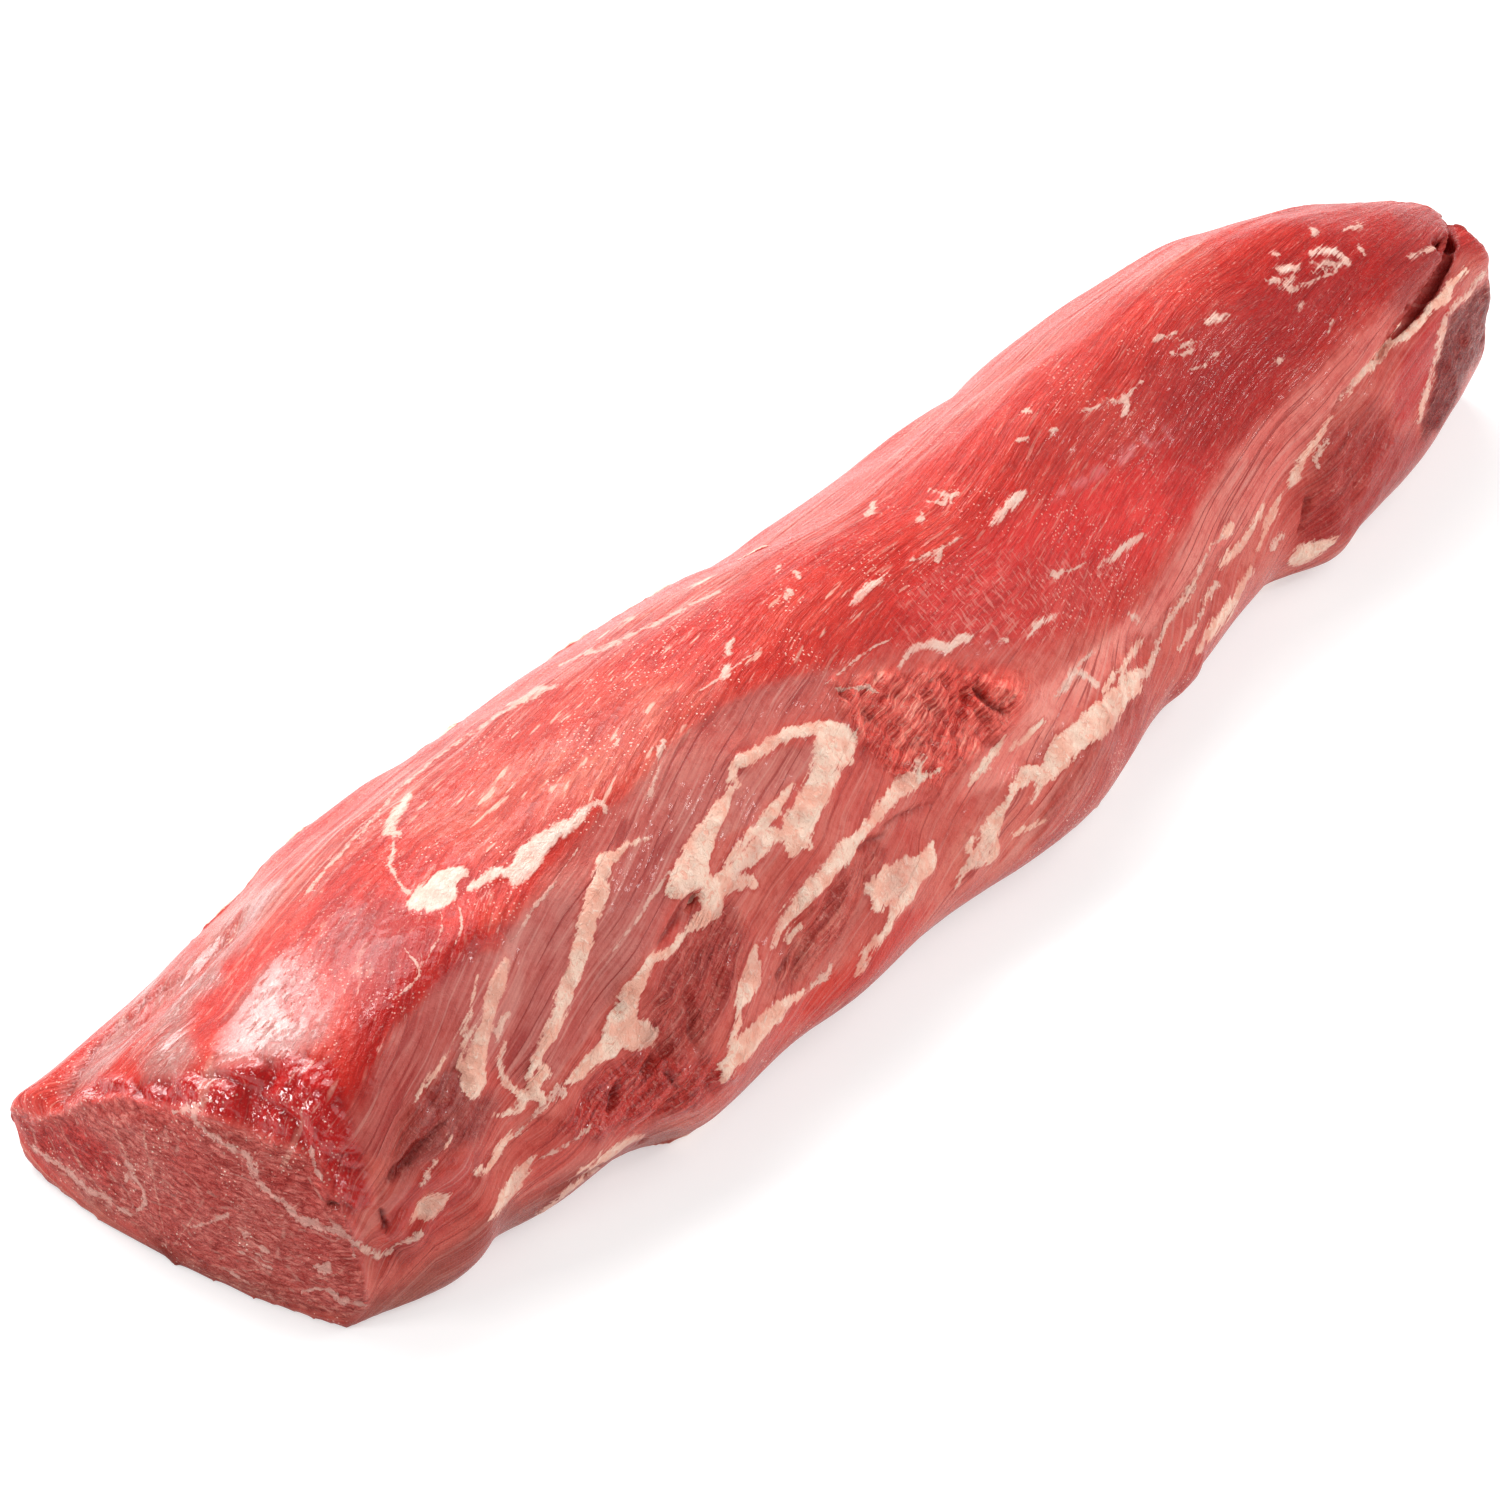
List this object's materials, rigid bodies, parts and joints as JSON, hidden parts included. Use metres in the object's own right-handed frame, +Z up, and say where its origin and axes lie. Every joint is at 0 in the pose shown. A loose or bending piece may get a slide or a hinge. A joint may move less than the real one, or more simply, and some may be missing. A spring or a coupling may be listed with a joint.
{
  "type": "raw beef tenderloin roast",
  "caption": "Long trimmed cut of raw beef tenderloin with two cut ends, fat seams along one side and a flat underside to rest on",
  "frame": {"origin": "on the surface the roast lies on, under the middle of its bounding box", "axes": "+X runs along the roast from the near cut end to the far cut end, +Z is up, and -Y is the trimmed side with the fat seams"},
  "size_m": [0.381, 0.1046, 0.0621],
  "materials": {
    "raw_beef": "moist satin, red flesh with pale fat seams"
  },
  "bodies": {
    "root": {"tenderloin": "raw_beef"}
  },
  "joints": []
}
